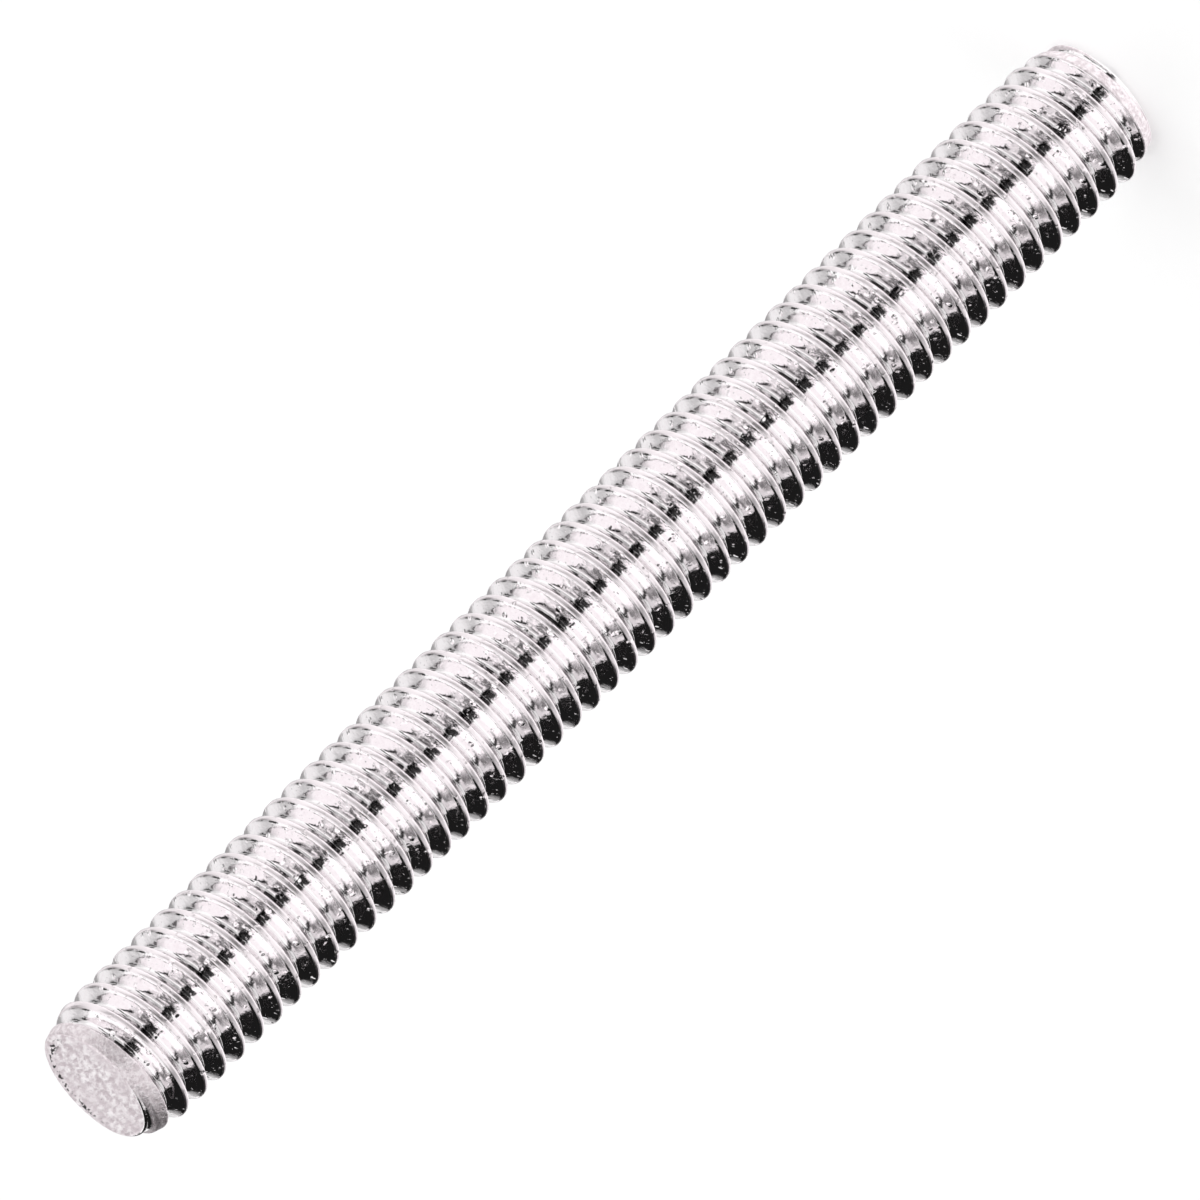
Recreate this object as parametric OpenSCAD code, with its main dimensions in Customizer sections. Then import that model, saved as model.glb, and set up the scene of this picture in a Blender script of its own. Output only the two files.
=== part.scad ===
// Threaded rod: a plain steel bar with one right-hand 60 degree screw thread
// cut or rolled over its whole length, and a short taper at each end.
// It stands on one end: +Z runs along the rod, and z = 0 is the lower end face.

/* [Rod] */
// Overall length, from end face to end face
rod_length = 76.2; // [20:0.1:90]
// Outside diameter, over the crests of the thread
major_diameter = 7.9375; // [5:0.0125:12]

/* [Thread] */
// Distance from one crest to the next along the rod
thread_pitch = 1.4111; // [1.2:0.0001:2]
// Angle between the two flanks of the groove, in degrees
flank_angle = 60; // [50:1:75]
// Width of the flat along the top of the crest
crest_flat = 0.25; // [0.12:0.01:0.4]
// Width of the flat along the bottom of the groove
root_flat = 0.28; // [0.1:0.01:0.5]
// Place round the rod where the groove leaves the lower end face, in degrees
groove_start = 235; // [0:1:359]

/* [Ends] */
// How much the taper takes off the radius at each end face
taper_depth = 0.55; // [0.1:0.05:1.2]
// Length of the taper along the rod
taper_length = 1.9; // [0.3:0.1:5]

/* [Finish] */
// Colour of the bright plating, as red, green and blue
plating_colour = [0.86, 0.84, 0.85];
// Flat facets in one turn of the groove
facets_per_turn = 24; // [16:1:24]

/* [Hidden] */

crest_radius = major_diameter / 2;
flank_run = (thread_pitch - crest_flat - root_flat) / 2;
thread_depth = flank_run / tan(flank_angle / 2);
root_radius = crest_radius - thread_depth;

// The flanks carry on a little past the crests, so that the flat facets of the
// cutter's open side stay clear of the round bar between their corners.
cutter_clearance = 0.02;
cutter_radius = crest_radius / cos(180 / facets_per_turn) + cutter_clearance;
cutter_half_width = root_flat / 2 + (cutter_radius - root_radius) * tan(flank_angle / 2);

// The groove starts one turn below the rod and ends one turn above it, so it
// runs out through both tapers and both end faces.
turns_past_end = 1;
groove_turns = ceil(rod_length / thread_pitch) + 2 * turns_past_end;
groove_steps = groove_turns * facets_per_turn;

// Section of the groove as [radius, height], counter-clockwise from the lower
// corner of its flat bottom.
groove_section = [
    [root_radius, -root_flat / 2],
    [cutter_radius, -cutter_half_width],
    [cutter_radius, cutter_half_width],
    [root_radius, root_flat / 2],
];

// A point of the section, carried round the rod by one facet per step.
function on_helix(point, step) =
    let (
        turn = step / facets_per_turn,
        angle = groove_start + 360 * turn,
        climb = thread_pitch * (turn - turns_past_end)
    )
    [point[0] * cos(angle), point[0] * sin(angle), point[1] + climb];

// The two triangles between one side of the section and the same side a step on.
function strip_faces(step, side, corners) =
    let (
        here = step * corners,
        a = here + side,
        b = here + (side + 1) % corners
    )
    [[a, b, b + corners], [a, b + corners, a + corners]];

// The screw-shaped body that the groove takes out of the bar.
module thread_groove() {
    corners = len(groove_section);
    side_faces = [
        for (step = [0 : groove_steps - 1], side = [0 : corners - 1])
            each strip_faces(step, side, corners)
    ];
    first_end = [for (corner = [corners - 1 : -1 : 0]) corner];
    last_end = [for (corner = [0 : corners - 1]) groove_steps * corners + corner];
    polyhedron(
        points = [
            for (step = [0 : groove_steps], point = groove_section)
                on_helix(point, step)
        ],
        faces = concat(side_faces, [first_end, last_end]),
        convexity = 10
    );
}

// The bar before it is threaded, turned with a taper at each end.
module tapered_bar() {
    end_radius = crest_radius - taper_depth;
    rotate_extrude($fn = 96)
        polygon([
            [0, 0],
            [end_radius, 0],
            [crest_radius, taper_length],
            [crest_radius, rod_length - taper_length],
            [end_radius, rod_length],
            [0, rod_length],
        ]);
}

module threaded_rod() {
    color(plating_colour)
        difference() {
            tapered_bar();
            thread_groove();
        }
}

threaded_rod();
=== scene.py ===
"""A zinc-plated threaded rod, standing on its square-cut end in a plain white studio."""

import math

import bpy
from mathutils import Matrix, Vector


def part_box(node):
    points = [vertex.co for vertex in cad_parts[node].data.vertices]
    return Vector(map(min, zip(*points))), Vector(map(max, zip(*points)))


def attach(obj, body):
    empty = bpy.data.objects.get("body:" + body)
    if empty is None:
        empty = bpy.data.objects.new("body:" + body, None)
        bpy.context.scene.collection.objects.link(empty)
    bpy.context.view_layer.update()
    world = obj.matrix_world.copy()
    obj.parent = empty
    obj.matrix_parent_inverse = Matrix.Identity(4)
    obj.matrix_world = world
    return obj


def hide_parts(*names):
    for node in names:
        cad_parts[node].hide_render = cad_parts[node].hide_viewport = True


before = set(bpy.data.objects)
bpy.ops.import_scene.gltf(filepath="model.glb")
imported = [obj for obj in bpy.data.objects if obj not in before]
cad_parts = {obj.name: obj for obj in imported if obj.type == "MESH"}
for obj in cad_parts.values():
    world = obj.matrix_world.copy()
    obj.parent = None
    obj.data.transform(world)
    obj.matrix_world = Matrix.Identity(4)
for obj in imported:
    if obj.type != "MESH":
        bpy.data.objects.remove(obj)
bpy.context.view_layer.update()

MM = 0.001

# The rod, in metres. Its length and outside diameter are the frame's own.
NODE = "threaded_rod"
rod_low, rod_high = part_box(NODE)
LENGTH = rod_high.z - rod_low.z
MAJOR_RADIUS = (rod_high.x - rod_low.x) / 2
PITCH = 1.4111 * MM
FLANK_ANGLE = math.radians(60)
CREST_FLAT = 0.25 * MM
ROOT_FLAT = 0.28 * MM
TAPER_DEPTH = 0.55 * MM
TAPER_LENGTH = 1.9 * MM
GROOVE_START = 235 / 360

# Rolling leaves the thread's corners slightly round, and plating softens the cut edge.
CREST_ROUNDING = 0.09 * MM
ROOT_ROUNDING = 0.3 * MM
EDGE_ROUNDING = 0.13 * MM

# How many columns and rows the rod's grid has.
COLUMNS = 64
ROWS_PER_TURN = 24
FACE_ROWS = 14
EDGE_ROWS = 8

# The view: the rod's upper end comes towards the camera, and its axis is aslant in
# the picture. The camera aims at a point on this height, this far aside of the axis.
VIEW_ELEVATION = math.radians(23.7)
VIEW_SLANT = math.radians(44.61)
VIEW_WIDTH = 59.4 * MM
AIM_HEIGHT = 38.64 * MM
AIM_SIDE = -0.35 * MM

# The long lens keeps the rod's sides parallel. Lens and sensor are in millimetres, and the
# nearest and the farthest distance that the camera sees are in metres.
LENS = 1200
SENSOR = 36
NEAREST = 0.1
FARTHEST = 10

WHITE = (1, 1, 1, 1)


def add_node(tree, kind, inputs=None, **settings):
    """Add one node with its settings; inputs maps a socket to a value or to an output."""
    node = tree.nodes.new(kind)
    for name, value in settings.items():
        setattr(node, name, value)
    for key, value in (inputs or {}).items():
        if isinstance(value, bpy.types.NodeSocket):
            tree.links.new(value, node.inputs[key])
        else:
            node.inputs[key].default_value = value
    return node


def work_out(tree, known, steps):
    """Add one Math node for each step (result, operation, operands...) and keep its result by name."""
    for result, operation, *operands in steps:
        inputs = {
            place: known[operand] if isinstance(operand, str) else operand
            for place, operand in enumerate(operands)
        }
        node = add_node(tree, "ShaderNodeMath", inputs, operation=operation)
        known[result] = node.outputs[0]
    return known


def linear(hex_colour):
    """An sRGB hex colour as linear red, green, blue and alpha, by the standard's own curve."""
    values = [int(hex_colour[i : i + 2], 16) / 255 for i in (1, 3, 5)]
    return [v / 12.92 if v <= 0.04045 else ((v + 0.055) / 1.055) ** 2.4 for v in values] + [1]


# ---------------------------------------------------------------- materials

# Where a point of the surface is: how far along the groove's width from its middle, as a
# share of the pitch, and how deep it lies under the rod's outside, tapered at the ends.
THREAD_PLACE = (
    ("angle", "ARCTAN2", "y", "x"),
    ("turn", "DIVIDE", "angle", math.tau),
    ("climb", "DIVIDE", "z", PITCH),
    ("helix", "SUBTRACT", "climb", "turn"),
    ("place", "ADD", "helix", GROOVE_START),
    ("up_groove", "WRAP", "place", 0.5, -0.5),
    ("from_top", "SUBTRACT", LENGTH, "z"),
    ("from_end", "MINIMUM", "z", "from_top"),
    ("tapered", "MULTIPLY_ADD", "from_end", TAPER_DEPTH / TAPER_LENGTH, MAJOR_RADIUS - TAPER_DEPTH),
    ("outside", "MINIMUM", "tapered", MAJOR_RADIUS),
    ("x_squared", "MULTIPLY", "x", "x"),
    ("radius_squared", "MULTIPLY_ADD", "y", "y", "x_squared"),
    ("radius", "SQRT", "radius_squared"),
    ("depth", "SUBTRACT", "outside", "radius"),
)


def new_material(name):
    """An empty node material with its output and a principled shader."""
    material = bpy.data.materials.new(name)
    material.use_nodes = True
    tree = material.node_tree
    tree.nodes.clear()
    shader = add_node(tree, "ShaderNodeBsdfPrincipled")
    add_node(tree, "ShaderNodeOutputMaterial", {"Surface": shader.outputs["BSDF"]})
    return material, tree, shader


def ramp(tree, value, low, high, at_low=0.0, at_high=1.0):
    """A smooth step of the value between two limits."""
    node = add_node(
        tree,
        "ShaderNodeMapRange",
        {"Value": value, "From Min": low, "From Max": high, "To Min": at_low, "To Max": at_high},
        interpolation_type="SMOOTHSTEP",
    )
    return node.outputs[0]


def product(tree, *factors):
    """The product of the values, each of them an output or a number."""
    result = factors[0]
    for factor in factors[1:]:
        node = add_node(tree, "ShaderNodeMath", {0: result, 1: factor}, operation="MULTIPLY")
        result = node.outputs[0]
    return result


def band(tree, value, start, full, fading, end):
    """1 where the value lies inside a band and 0 outside it, with a smooth step at each edge."""
    return product(tree, ramp(tree, value, start, full), ramp(tree, value, end, fading))


def grain(tree, place, size, detail=2.0, roughness=0.5):
    """Noise whose grains are about the given size across."""
    node = add_node(
        tree,
        "ShaderNodeTexNoise",
        {"Vector": place, "Scale": 1 / size, "Detail": detail, "Roughness": roughness},
    )
    return node.outputs[0]


def relief(tree, height, depth, under=None):
    """A bump of the given depth over the bump under it."""
    inputs = {"Height": height, "Distance": depth, "Strength": 1.0}
    if under:
        inputs["Normal"] = under
    return add_node(tree, "ShaderNodeBump", inputs).outputs[0]


# Each mark of the plate has its size and its relief. A mark that comes here and there shows
# where its noise passes from the first to the second of its limits.

# Fine marks of rolling, drawn out along the thread this many times their width.
ROLLING_MARK = 0.14 * MM
ROLLING_STRETCH = 2.2
ROLLING_RELIEF = 0.007 * MM

# Broad unevenness, round pimples and smaller crumbs in the plate.
WAVE_SIZE = 1.0 * MM
WAVE_RELIEF = 0.02 * MM
PIMPLE_SPACING = 0.8 * MM
PIMPLE_RADIUS = 0.2 * MM
PIMPLE_RELIEF = 0.04 * MM
CRUMB_SIZE = 0.2 * MM
CRUMB_RELIEF = 0.035 * MM
CRUMB_LIMITS = (0.68, 0.75)

# The burnished crests, by depth under the rod's outside, and the nicks in them.
CREST_DEPTHS = (0.08 * MM, 0.03 * MM)
NICK_SIZE = 0.42 * MM
NICK_RELIEF = 0.05 * MM
NICK_LIMITS = (0.66, 0.76)

# Painted shade: dark broken lines beside the crests, by depth under the rod's outside, that stand in
# for the groove's shadow lines. They are fainter on the groove's lower side, which passes to the upper
# one between these shares of the pitch.
SHADE_LINE_SIZE = 0.5 * MM
SHADE_LINE_LIMITS = (0.5, 0.56)
SHADE_LINE_DEPTHS = (0.03 * MM, 0.05 * MM, 0.08 * MM, 0.12 * MM)
SHADE_LINE_SIDES = (-0.1, 0.1)
LOWER_SHADE_LINES = 0.15

# Painted shade: dark patches low on the groove's upper flank, by share of the pitch, that stand in for
# dark reflections in the groove. They come at this many sides of the rod, one of them at the turn, and
# fade out as the wave round the rod falls.
GROOVE_SHADE_SIZE = 0.9 * MM
GROOVE_SHADE_LIMITS = (0.48, 0.54)
GROOVE_SHADE_BAND = (0.0, 0.03, 0.15, 0.22)
GROOVE_SHADE_SIDES = 3
GROOVE_SHADE_TURN = math.radians(-75)
GROOVE_SHADE_WAVE = (0.6, 0.92)

# Painted shade: a thin grey darkening in the root, where shade falls, by share of the pitch.
ROOT_SHADE_BAND = (-0.06, 0.0, 0.09, 0.12)
ROOT_SHADE_DARKNESS = 0.14

# The shears crushed the outside at each end: the crests as far as the first length, and the
# flanks less far, down to a depth. Each fades out between its two limits.
CRUSHED_CRESTS = (1.7 * MM, 1.02 * MM)
CRUSHED_FLANKS = (1.0 * MM, 0.6 * MM)
CRUSHED_DEPTHS = (0.26 * MM, 0.18 * MM)

# The crushed grain under the plate, and the broader zones of the end face.
GRIT_SIZE = 0.2 * MM
GRIT_RELIEF = 0.05 * MM
BLOTCH_SIZE = 0.27 * MM
BLOTCH_RELIEF = 0.06 * MM
BLOTCH_LIMITS = (0.36, 0.64)
ZONE_SIZE = 2.2 * MM
ZONE_LIMITS = (0.4, 0.6)
ZONE_SHARE = 0.6

# The shears draw the end face's grain out across it, this many times its width.
SHEAR_STRETCH = 2.3

# Specks of burr, in a ring near the end face's rim and on one side of it.
BURR_SIZE = 0.17 * MM
BURR_LIMITS = (0.52, 0.56)
FACE_RADIUS = MAJOR_RADIUS - TAPER_DEPTH
BURR_RING = (0.76 * FACE_RADIUS, 0.82 * FACE_RADIUS, 0.89 * FACE_RADIUS, 0.92 * FACE_RADIUS)
BURR_ARC = (math.radians(-25), math.radians(0), math.radians(100), math.radians(135))

# How rough the plate is: on the flanks, on the burnished crests and where it is crushed.
FLANK_ROUGHNESS = 0.07
CREST_ROUGHNESS = 0.28
CRUSHED_ROUGHNESS = 0.45


def blend(tree, share, colour, other):
    """A colour between two, by the share of the second; each is a value or an output."""
    node = add_node(
        tree,
        "ShaderNodeMix",
        {"Factor": share, "A": colour, "B": other},
        data_type="RGBA",
    )
    return node.outputs["Result"]


def surface_place(tree):
    """The point of the surface, and its parts by name."""
    point = add_node(tree, "ShaderNodeTexCoord").outputs["Object"]
    parts = add_node(tree, "ShaderNodeSeparateXYZ", {0: point})
    return point, {"x": parts.outputs["X"], "y": parts.outputs["Y"], "z": parts.outputs["Z"]}


def drawn_out(tree, point, stretch):
    """The point, scaled so that a pattern is drawn out this many times along each axis."""
    scale = [1 / times for times in stretch]
    return add_node(tree, "ShaderNodeMapping", {"Vector": point, "Scale": scale}).outputs[0]


def crushed(tree, point):
    """The bump of crushed metal under the plate, and its blotches' light and dark."""
    grit = grain(tree, point, GRIT_SIZE, detail=3.0, roughness=0.6)
    blotches = grain(tree, point, BLOTCH_SIZE, detail=3.0, roughness=0.6)
    normal = relief(tree, blotches, BLOTCH_RELIEF)
    normal = relief(tree, grit, GRIT_RELIEF, normal)
    return normal, ramp(tree, blotches, *BLOTCH_LIMITS)


def crushed_outside(tree, known, crest):
    """How much the shears crushed the outside: its crests, and close to the end face the
    shallow part of its flanks too."""
    known["crushed_end"] = ramp(tree, known["from_end"], *CRUSHED_CRESTS)
    known["crushed_crest"] = product(tree, known["crushed_end"], crest)
    known["crushed_flank"] = product(
        tree,
        ramp(tree, known["from_end"], *CRUSHED_FLANKS),
        ramp(tree, known["depth"], *CRUSHED_DEPTHS),
    )
    steps = (
        ("uncrushed_end", "SUBTRACT", 1.0, "crushed_end"),
        ("crushed", "MAXIMUM", "crushed_crest", "crushed_flank"),
    )
    return work_out(tree, known, steps)["crushed"]


def thread_painted_shade(tree, point, known):
    """How dark the thread is painted: painted shade lines along the crests' edges, painted shade
    patches for the dark reflections low in the groove, and painted shade in the root."""
    steps = (
        ("from_groove_shade", "SUBTRACT", "angle", GROOVE_SHADE_TURN),
        ("groove_shade_turns", "MULTIPLY", "from_groove_shade", GROOVE_SHADE_SIDES),
        ("groove_shade_wave", "COSINE", "groove_shade_turns"),
    )
    work_out(tree, known, steps)
    up_groove = known["up_groove"]
    # painted shade lines along the crests' edges, broken by noise
    shade_line_noise = grain(tree, point, SHADE_LINE_SIZE, detail=3.0, roughness=0.6)
    known["shade_line"] = product(
        tree,
        band(tree, known["depth"], *SHADE_LINE_DEPTHS),
        ramp(tree, shade_line_noise, *SHADE_LINE_LIMITS),
        ramp(tree, up_groove, *SHADE_LINE_SIDES, LOWER_SHADE_LINES, 1.0),
        known["uncrushed_end"],
    )
    # painted shade patches low in the groove, standing in for its dark reflections
    groove_shade_noise = grain(tree, point, GROOVE_SHADE_SIZE, detail=4.0, roughness=0.6)
    known["groove_shade"] = product(
        tree,
        band(tree, up_groove, *GROOVE_SHADE_BAND),
        ramp(tree, groove_shade_noise, *GROOVE_SHADE_LIMITS),
        ramp(tree, known["groove_shade_wave"], *GROOVE_SHADE_WAVE),
    )
    # painted shade in the root
    known["root_shade"] = product(tree, band(tree, up_groove, *ROOT_SHADE_BAND), ROOT_SHADE_DARKNESS)
    darkest = (
        ("line_and_patch_shade", "MAXIMUM", "shade_line", "groove_shade"),
        ("painted_shade", "MAXIMUM", "line_and_patch_shade", "root_shade"),
    )
    return work_out(tree, known, darkest)["painted_shade"]


def thread_relief(tree, point, marks, crest):
    """The bump of the rolled thread: waves, rolling marks, pimples, crumbs, and nicks in
    the crests."""
    cells = {"Vector": point, "Scale": 1 / PIMPLE_SPACING}
    pimples = add_node(tree, "ShaderNodeTexVoronoi", cells).outputs["Distance"]
    pimples = ramp(tree, pimples, PIMPLE_RADIUS / PIMPLE_SPACING, 0.0)
    crumbs = ramp(tree, grain(tree, point, CRUMB_SIZE), *CRUMB_LIMITS)
    nicks = ramp(tree, grain(tree, point, NICK_SIZE, detail=1.0), *NICK_LIMITS)
    normal = relief(tree, grain(tree, point, WAVE_SIZE), WAVE_RELIEF)
    normal = relief(tree, marks, ROLLING_RELIEF, normal)
    normal = relief(tree, pimples, PIMPLE_RELIEF, normal)
    normal = relief(tree, crumbs, CRUMB_RELIEF, normal)
    return relief(tree, product(tree, nicks, crest), -NICK_RELIEF, normal)


def rolled_zinc():
    """Bright zinc plate over a rolled thread: mirror-like flanks and roots with fine rolling
    marks along them, and burnished crests that are duller and a little nicked. Painted shade
    darkens the crests' edges, the root and patches low in the groove. Where the shears crushed
    the outside at each end, it is matt and blotchy."""
    material, tree, shader = new_material("rolled_zinc_plate")
    shader.inputs["Metallic"].default_value = 1.0
    point, known = surface_place(tree)
    work_out(tree, known, THREAD_PLACE)
    crest = ramp(tree, known["depth"], *CREST_DEPTHS)
    crushed_share = crushed_outside(tree, known, crest)
    drawn = drawn_out(tree, point, (ROLLING_STRETCH, ROLLING_STRETCH, 1))
    marks = grain(tree, drawn, ROLLING_MARK, detail=3.0, roughness=0.6)

    rolled = thread_relief(tree, point, marks, crest)
    matt, blotches = crushed(tree, point)
    turned = add_node(
        tree,
        "ShaderNodeMix",
        {"Factor": crushed_share, "A": rolled, "B": matt},
        data_type="VECTOR",
    )
    tree.links.new(turned.outputs["Result"], shader.inputs["Normal"])
    rough = ramp(tree, crest, 0.0, 1.0, FLANK_ROUGHNESS, CREST_ROUGHNESS)
    rough = ramp(tree, crushed_share, 0.0, 1.0, rough, CRUSHED_ROUGHNESS)
    tree.links.new(rough, shader.inputs["Roughness"])
    plate = blend(tree, marks, linear("#F1EAED"), linear("#FCFAFB"))
    plate = blend(tree, crest, plate, linear("#F1E9EC"))
    crushed_plate = blend(tree, blotches, linear("#E0D5D9"), linear("#FAF2F5"))
    plate = blend(tree, crushed_share, plate, crushed_plate)
    # painted shade: the dark lines, patches and root shade darken the plate
    plate = blend(tree, thread_painted_shade(tree, point, known), plate, linear("#1E1B1C"))
    tree.links.new(plate, shader.inputs["Base Color"])
    return material


def cut_zinc():
    """The same plate over a sheared end face: matt, blotchy and gritty, with specks of burr
    along the side of its rim where the shears broke through."""
    material, tree, shader = new_material("cut_end_zinc_plate")
    shader.inputs["Metallic"].default_value = 1.0
    shader.inputs["Roughness"].default_value = CRUSHED_ROUGHNESS
    point, known = surface_place(tree)
    work_out(tree, known, THREAD_PLACE)
    drawn = drawn_out(tree, point, (1, SHEAR_STRETCH, 1))
    normal, blotches = crushed(tree, drawn)
    tree.links.new(normal, shader.inputs["Normal"])
    burrs = product(
        tree,
        band(tree, known["angle"], *BURR_ARC),
        band(tree, known["radius"], *BURR_RING),
        ramp(tree, grain(tree, drawn, BURR_SIZE), *BURR_LIMITS),
    )
    zone_noise = grain(tree, point, ZONE_SIZE, detail=3.0, roughness=0.55)
    zones = ramp(tree, zone_noise, *ZONE_LIMITS, 0.0, ZONE_SHARE)
    plate = blend(tree, blotches, linear("#CDC1C6"), linear("#FDF8FA"))
    plate = blend(tree, zones, plate, linear("#E2D8DC"))
    plate = blend(tree, burrs, plate, linear("#2E2A2C"))
    tree.links.new(plate, shader.inputs["Base Color"])
    return material


# ---------------------------------------------------------------- the rod

ROD_INPUTS = (
    ("Outside Radius", "NodeSocketFloat", MAJOR_RADIUS),
    ("Length", "NodeSocketFloat", LENGTH),
    ("Pitch", "NodeSocketFloat", PITCH),
    ("Half Flank Angle", "NodeSocketFloat", FLANK_ANGLE / 2),
    ("Crest Flat", "NodeSocketFloat", CREST_FLAT),
    ("Root Flat", "NodeSocketFloat", ROOT_FLAT),
    ("Crest Rounding", "NodeSocketFloat", CREST_ROUNDING),
    ("Root Rounding", "NodeSocketFloat", ROOT_ROUNDING),
    ("Groove Start", "NodeSocketFloat", GROOVE_START),
    ("Taper Depth", "NodeSocketFloat", TAPER_DEPTH),
    ("Taper Length", "NodeSocketFloat", TAPER_LENGTH),
    ("Edge Rounding", "NodeSocketFloat", EDGE_ROUNDING),
    ("Columns", "NodeSocketInt", COLUMNS),
    ("Rows Per Turn", "NodeSocketInt", ROWS_PER_TURN),
    ("Face Rows", "NodeSocketInt", FACE_ROWS),
    ("Edge Rows", "NodeSocketInt", EDGE_ROWS),
)

# The grid's rows run from the middle of the lower end face, out over its edge,
# up the thread and over the upper edge to the middle of the upper end face.
GRID_SIZE = (
    ("turns_long", "DIVIDE", "Length", "Pitch"),
    ("whole_turns", "CEIL", "turns_long"),
    ("side_turns", "ADD", "whole_turns", 1),
    ("side_rows", "MULTIPLY", "side_turns", "Rows Per Turn"),
    ("end_rows", "ADD", "Face Rows", "Edge Rows"),
    ("rows", "MULTIPLY_ADD", "end_rows", 2, "side_rows"),
    ("row_points", "ADD", "rows", 1),
    ("column_points", "ADD", "Columns", 1),
)

# The grid's x and y each run from -0.5 to 0.5: x once round the rod, and y through the rows.
ROD_SHAPE = (
    # where the point is on the grid
    ("turn", "ADD", "grid_x", 0.5),
    ("row_share", "ADD", "grid_y", 0.5),
    ("row", "MULTIPLY", "row_share", "rows"),
    ("row_left", "SUBTRACT", "rows", "row"),
    ("end_row", "MINIMUM", "row", "row_left"),
    ("row_side", "SUBTRACT", "row", "row_left"),
    ("end_sign", "SIGN", "row_side"),
    # height on the side: rows climb with the thread and stop at the two edges
    ("side_row", "SUBTRACT", "row", "end_rows"),
    ("row_turns", "DIVIDE", "side_row", "Rows Per Turn"),
    ("turned_up", "ADD", "row_turns", "turn"),
    ("turns_up", "SUBTRACT", "turned_up", 1),
    ("climb", "MULTIPLY", "turns_up", "Pitch"),
    ("top_edge", "SUBTRACT", "Length", "Edge Rounding"),
    ("climb_low", "MAXIMUM", "climb", "Edge Rounding"),
    ("side_z", "MINIMUM", "climb_low", "top_edge"),
    # section of the thread at that height and angle
    ("tan_flank", "TANGENT", "Half Flank Angle"),
    ("flats", "ADD", "Crest Flat", "Root Flat"),
    ("flank_runs", "SUBTRACT", "Pitch", "flats"),
    ("flank_run", "MULTIPLY", "flank_runs", 0.5),
    ("depth", "DIVIDE", "flank_run", "tan_flank"),
    ("root_radius", "SUBTRACT", "Outside Radius", "depth"),
    ("pitches_up", "DIVIDE", "side_z", "Pitch"),
    ("helix", "SUBTRACT", "pitches_up", "turn"),
    ("place", "ADD", "helix", "Groove Start"),
    ("across", "PINGPONG", "place", 0.5),
    ("from_groove", "MULTIPLY", "across", "Pitch"),
    ("up_flank", "MULTIPLY_ADD", "Root Flat", -0.5, "from_groove"),
    ("rise", "DIVIDE", "up_flank", "tan_flank"),
    ("flank_radius", "ADD", "root_radius", "rise"),
    ("filleted", "SMOOTH_MAX", "root_radius", "flank_radius", "Root Rounding"),
    # the taper at each end takes the crests down
    ("from_top", "SUBTRACT", "Length", "side_z"),
    ("from_end", "MINIMUM", "side_z", "from_top"),
    ("taper_slope", "DIVIDE", "Taper Depth", "Taper Length"),
    ("taper_gain", "MULTIPLY", "from_end", "taper_slope"),
    ("face_radius", "SUBTRACT", "Outside Radius", "Taper Depth"),
    ("taper_radius", "ADD", "face_radius", "taper_gain"),
    ("crest_radius", "MINIMUM", "taper_radius", "Outside Radius"),
    ("thread_radius", "SMOOTH_MIN", "filleted", "crest_radius", "Crest Rounding"),
    # the small round over the edge of the face
    ("edge_row", "SUBTRACT", "end_row", "Face Rows"),
    ("edge_part", "DIVIDE", "edge_row", "Edge Rows"),
    ("edge_begun", "MAXIMUM", "edge_part", 0.0),
    ("edge_share", "MINIMUM", "edge_begun", 1.0),
    ("edge_angle", "MULTIPLY", "edge_share", math.pi / 2),
    ("edge_cos", "COSINE", "edge_angle"),
    ("edge_sin", "SINE", "edge_angle"),
    ("edge_in", "SUBTRACT", 1.0, "edge_sin"),
    ("edge_cut", "MULTIPLY", "edge_in", "Edge Rounding"),
    ("rim_radius", "SUBTRACT", "thread_radius", "edge_cut"),
    ("edge_out", "MULTIPLY", "edge_cos", "Edge Rounding"),
    ("end_push", "MULTIPLY", "edge_out", "end_sign"),
    # the face closes to its middle
    ("face_part", "DIVIDE", "end_row", "Face Rows"),
    ("face_share", "MINIMUM", "face_part", 1.0),
    ("radius", "MULTIPLY", "rim_radius", "face_share"),
    ("angle", "MULTIPLY", "turn", math.tau),
    ("angle_cos", "COSINE", "angle"),
    ("angle_sin", "SINE", "angle"),
    ("x", "MULTIPLY", "radius", "angle_cos"),
    ("y", "MULTIPLY", "radius", "angle_sin"),
    ("z", "ADD", "side_z", "end_push"),
)

# The face ends at its last row, with a little over for rounding.
FACE_END = 1.001
MERGE_DISTANCE = 0.0005 * MM


def changed(tree, geometry, kind, inputs=None):
    """The geometry after one more node of the tree."""
    return add_node(tree, kind, {"Geometry": geometry, **(inputs or {})}).outputs[0]


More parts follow.
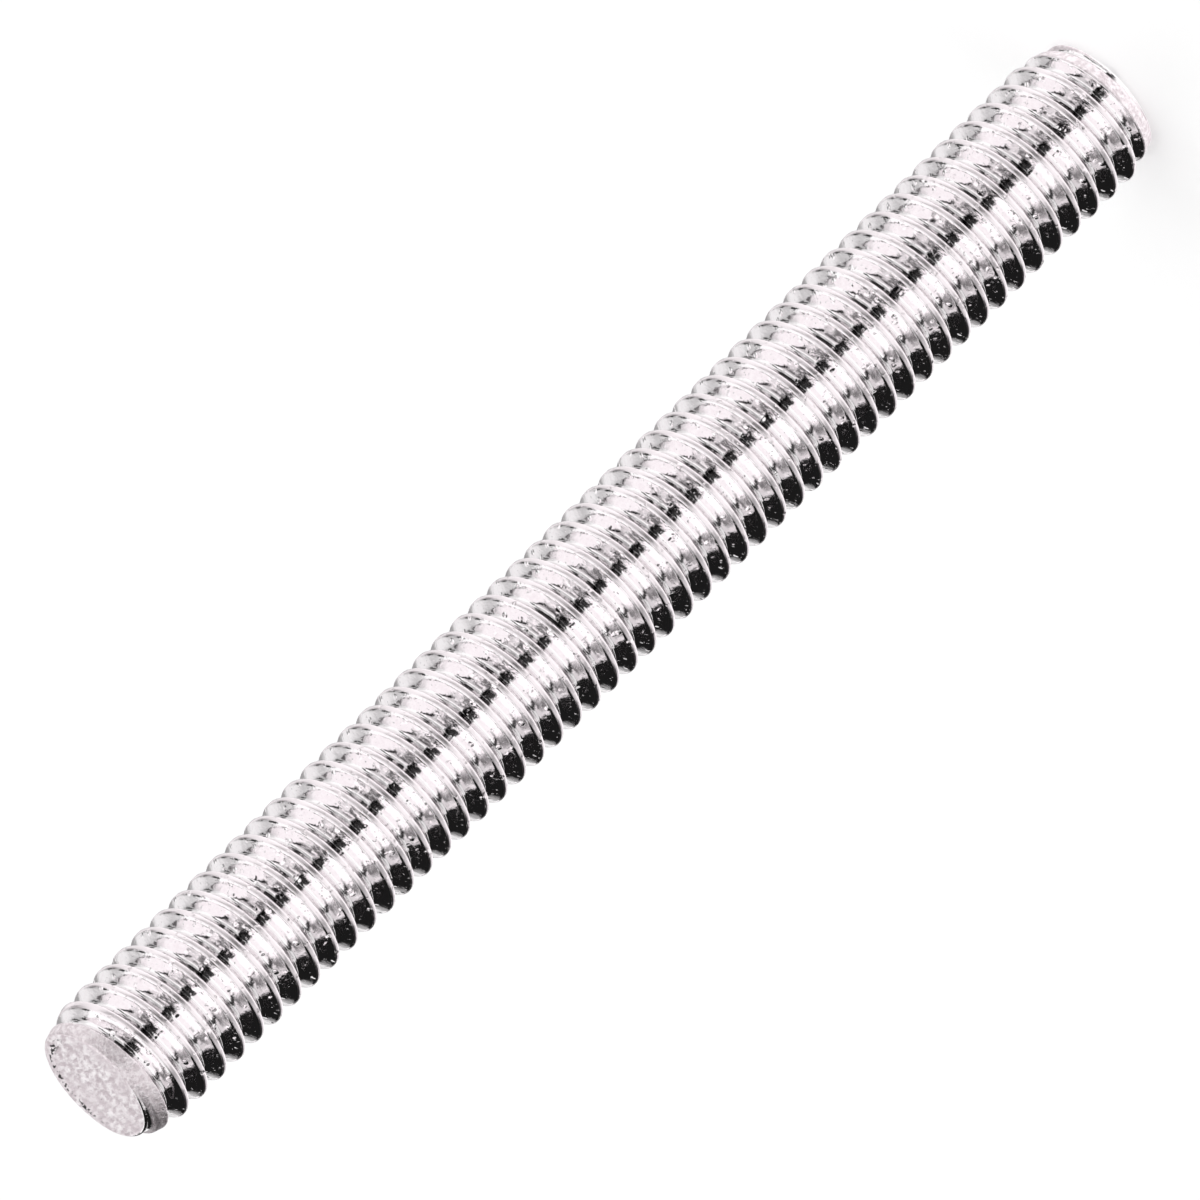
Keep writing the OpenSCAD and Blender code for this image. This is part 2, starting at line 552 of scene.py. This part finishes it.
def rod_tree(thread_finish, end_finish):
    """The geometry tree that wraps a grid round the thread's section."""
    tree = bpy.data.node_groups.new("threaded_rod_shape", "GeometryNodeTree")
    for name, kind, value in ROD_INPUTS:
        socket = tree.interface.new_socket(name, in_out="INPUT", socket_type=kind)
        socket.default_value = value
    tree.interface.new_socket("Rod", in_out="OUTPUT", socket_type="NodeSocketGeometry")

    sizes = add_node(tree, "NodeGroupInput")
    known = {name: sizes.outputs[name] for name, _, _ in ROD_INPUTS}
    work_out(tree, known, GRID_SIZE)
    grid_sizes = {
        "Size X": 1.0,
        "Size Y": 1.0,
        "Vertices X": known["column_points"],
        "Vertices Y": known["row_points"],
    }
    grid = add_node(tree, "GeometryNodeMeshGrid", grid_sizes)

    position = add_node(tree, "GeometryNodeInputPosition")
    parts = add_node(tree, "ShaderNodeSeparateXYZ", {0: position.outputs[0]})
    known["grid_x"] = parts.outputs["X"]
    known["grid_y"] = parts.outputs["Y"]
    work_out(tree, known, ROD_SHAPE)
    on_face = add_node(
        tree,
        "FunctionNodeCompare",
        {0: known["face_part"], 1: FACE_END},
        data_type="FLOAT",
        operation="LESS_THAN",
    )
    kept = add_node(tree, "GeometryNodeCaptureAttribute", {"Geometry": grid.outputs["Mesh"]})
    kept.capture_items.new("BOOLEAN", "On Face")
    tree.links.new(on_face.outputs[0], kept.inputs["On Face"])

    place = add_node(tree, "ShaderNodeCombineXYZ", {k: known[k.lower()] for k in "XYZ"})
    moved = {"Position": place.outputs[0]}
    threaded = {"Material": thread_finish}
    ended = {"Selection": kept.outputs["On Face"], "Material": end_finish}
    rod = changed(tree, kept.outputs["Geometry"], "GeometryNodeSetPosition", moved)
    rod = changed(tree, rod, "GeometryNodeMergeByDistance", {"Distance": MERGE_DISTANCE})
    rod = changed(tree, rod, "GeometryNodeSetShadeSmooth")
    rod = changed(tree, rod, "GeometryNodeRealizeInstances")
    rod = changed(tree, rod, "GeometryNodeSetMaterial", threaded)
    rod = changed(tree, rod, "GeometryNodeSetMaterial", ended)
    add_node(tree, "NodeGroupOutput", {"Rod": rod})
    return tree


def threaded_rod():
    """The rod: one closed mesh, made by its geometry tree and then kept as a plain mesh."""
    tree = rod_tree(rolled_zinc(), cut_zinc())
    maker = bpy.data.objects.new("rod_maker", bpy.data.meshes.new("rod_maker"))
    bpy.context.scene.collection.objects.link(maker)
    modifier = maker.modifiers.new("shape", "NODES")
    modifier.node_group = tree
    for socket in tree.interface.items_tree:
        if socket.in_out == "INPUT":
            modifier[socket.identifier] = socket.default_value
    graph = bpy.context.evaluated_depsgraph_get()
    mesh = bpy.data.meshes.new_from_object(maker.evaluated_get(graph), depsgraph=graph)
    mesh.name = "plated_rod"
    maker.modifiers.clear()
    bpy.data.objects.remove(maker)
    rod = bpy.data.objects.new("plated_rod", mesh)
    bpy.context.scene.collection.objects.link(rod)
    return rod


# ---------------------------------------------------------------- studio

# What the camera sees of the floor is lifted to white; its shadow stays. Its size is in metres.
FLOOR_SIZE = 3.0
FLOOR_LIFT = 0.32


def floor():
    """A white floor. The metal sees the tent's own white base instead of it."""
    bpy.ops.mesh.primitive_plane_add(size=FLOOR_SIZE)
    plane = bpy.context.active_object
    plane.name = "studio_floor"
    material, tree, shader = new_material("studio_white")
    shader.inputs["Base Color"].default_value = linear("#F2F2F2")
    path = add_node(tree, "ShaderNodeLightPath")
    lift = ramp(tree, path.outputs["Is Camera Ray"], 0.0, 1.0, 0.0, FLOOR_LIFT)
    shader.inputs["Emission Color"].default_value = WHITE
    tree.links.new(lift, shader.inputs["Emission Strength"])
    shader.inputs["Roughness"].default_value = 1.0
    shader.inputs["Specular IOR Level"].default_value = 0.0
    plane.data.materials.append(material)
    plane.visible_glossy = False


# Where the tent's white walls dim or stop, in degrees: for each gap its middle and half
# width round the rod, from the camera towards -X, its lowest and highest elevation, how far
# it leans sideways for each degree that it rises, its blur, and then its darkness.
TENT_GAPS = (
    # the walls and the top are dimmer than the tent's base, and one part of the top more so
    (0, 200, -30, 100, 0, 3, 0.15),
    (22, 30, 48, 78, 0, 8, 0.4),
    # the slot that the lens looks through, in two parts, and the shadows beside and below it
    (-11, 4.5, -34.5, 47, 0, 1, 0.985),
    (-2, 9, -34.5, 47, 0, 2, 0.97),
    (-28, 9, -20, -6, 0, 3, 0.6),
    (-20, 15, -37.5, -30, 0, 3, 0.93),
    # the room beyond the tent's open side, and its dim edges
    (130.5, 31.5, -21.5, 54, 0, 3, 0.99),
    (92, 22, 30, 62, 0, 8, 0.75),
    (164.5, 3.5, 1, 13, 0, 2, 0.6),
    # folds in the wall on that side
    (66, 6.5, -22, 36, 0.25, 3.5, 0.96),
    (72, 10, -34, -18, 0, 6, 0.62),
    (56, 10, -27, -18, 0, 3, 0.45),
    (86, 12, -20, 40, 0, 6, 0.3),
    (80, 11, -27, -19, 0, 3, 0.58),
    # a seam and folds in the wall on the other side
    (-60, 5, -26, 28, -0.4, 1.5, 0.99),
    (-40, 12, -33, -27, 0, 2, 0.35),
    (-36, 18, -20, 26, 0, 4, 0.35),
    (-127, 7, 39, 47, 0, 1.5, 0.97),
    (-129.5, 10, 24, 31, 0, 1.5, 0.95),
    (-122, 6, -3, 16, 0, 3, 0.85),
    (-130, 14, 14, 46, 0, 6, 0.4),
    (-140, 42, -30, -18, 0, 4, 0.2),
    (-118, 18, -5, 36, 0, 8, 0.3),
    (-148, 14, 5, 40, 0, 10, 0.18),
    # the seam behind the rod, where the angle passes from 180 to -180
    (180, 12, -50, 14, 0, 4, 0.35),
    (-180, 24, -50, 14, 0, 5, 0.65),
)

# How strongly the tent's base shines.
TENT_LIGHT = 1.34


def light_tent():
    """Soft white light from all round, with the dark gaps that give bright metal its contrast."""
    tent = bpy.data.worlds.new("light_tent")
    tent.use_nodes = True
    tree = tent.node_tree
    place = add_node(tree, "ShaderNodeTexCoord")
    parts = add_node(tree, "ShaderNodeSeparateXYZ", {0: place.outputs["Generated"]})
    known = {"x": parts.outputs["X"], "y": parts.outputs["Y"], "z": parts.outputs["Z"]}
    degree = math.pi / 180
    steps = (
        ("left", "MULTIPLY", "x", -1.0),
        ("near", "MULTIPLY", "y", -1.0),
        ("turn", "ARCTAN2", "left", "near"),
        ("azimuth", "DIVIDE", "turn", degree),
        ("rise", "ARCSINE", "z"),
        ("elevation", "DIVIDE", "rise", degree),
    )
    work_out(tree, known, steps)
    known["light"] = add_node(tree, "ShaderNodeValue").outputs[0]
    known["light"].default_value = TENT_LIGHT
    for middle, half, lowest, highest, lean, blur, darkness in TENT_GAPS:
        gap = (
            ("axis", "MULTIPLY_ADD", "elevation", lean, middle),
            ("offset", "SUBTRACT", "azimuth", "axis"),
            ("aside", "ABSOLUTE", "offset"),
            ("inside", "SUBTRACT", half, "aside"),
            ("above", "SUBTRACT", "elevation", lowest),
            ("below", "SUBTRACT", highest, "elevation"),
        )
        work_out(tree, known, gap)
        shares = [ramp(tree, known[side], -blur, blur) for side in ("inside", "above", "below")]
        known["loss"] = product(tree, *shares, darkness)
        dim = (
            ("kept", "SUBTRACT", 1.0, "loss"),
            ("light", "MULTIPLY", "light", "kept"),
        )
        work_out(tree, known, dim)
    sky = tree.nodes["Background"]
    sky.inputs["Color"].default_value = WHITE
    path = add_node(tree, "ShaderNodeLightPath")
    seen = (
        ("beyond", "SUBTRACT", 1.0, "light"),
        ("strength", "MULTIPLY_ADD", "beyond", "is_camera", "light"),
    )
    known["is_camera"] = path.outputs["Is Camera Ray"]
    work_out(tree, known, seen)
    tree.links.new(known["strength"], sky.inputs["Strength"])
    bpy.context.scene.world = tent


def camera():
    """A long lens, looking down on the rod's upper end, turned so that the rod lies aslant."""
    toward = Vector((0, -math.cos(VIEW_ELEVATION), math.sin(VIEW_ELEVATION)))
    down_rod = Vector((0, -math.sin(VIEW_ELEVATION), -math.cos(VIEW_ELEVATION)))
    across = Vector((-1, 0, 0))
    right = math.cos(VIEW_SLANT) * down_rod + math.sin(VIEW_SLANT) * across
    up = math.sin(VIEW_SLANT) * down_rod - math.cos(VIEW_SLANT) * across
    distance = VIEW_WIDTH * LENS / SENSOR
    aim = Vector((AIM_SIDE, 0, AIM_HEIGHT))
    data = bpy.data.cameras.new("camera")
    data.lens = LENS
    data.sensor_width = SENSOR
    data.clip_start = NEAREST
    data.clip_end = FARTHEST
    cam = bpy.data.objects.new("camera", data)
    cam.matrix_world = Matrix.Translation(aim + toward * distance) @ Matrix(
        (right, up, toward)
    ).transposed().to_4x4()
    bpy.context.scene.collection.objects.link(cam)
    bpy.context.scene.camera = cam


rod = threaded_rod()
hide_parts(NODE)
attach(rod, "root")
floor()
light_tent()
camera()
bpy.context.scene.view_settings.view_transform = "Standard"
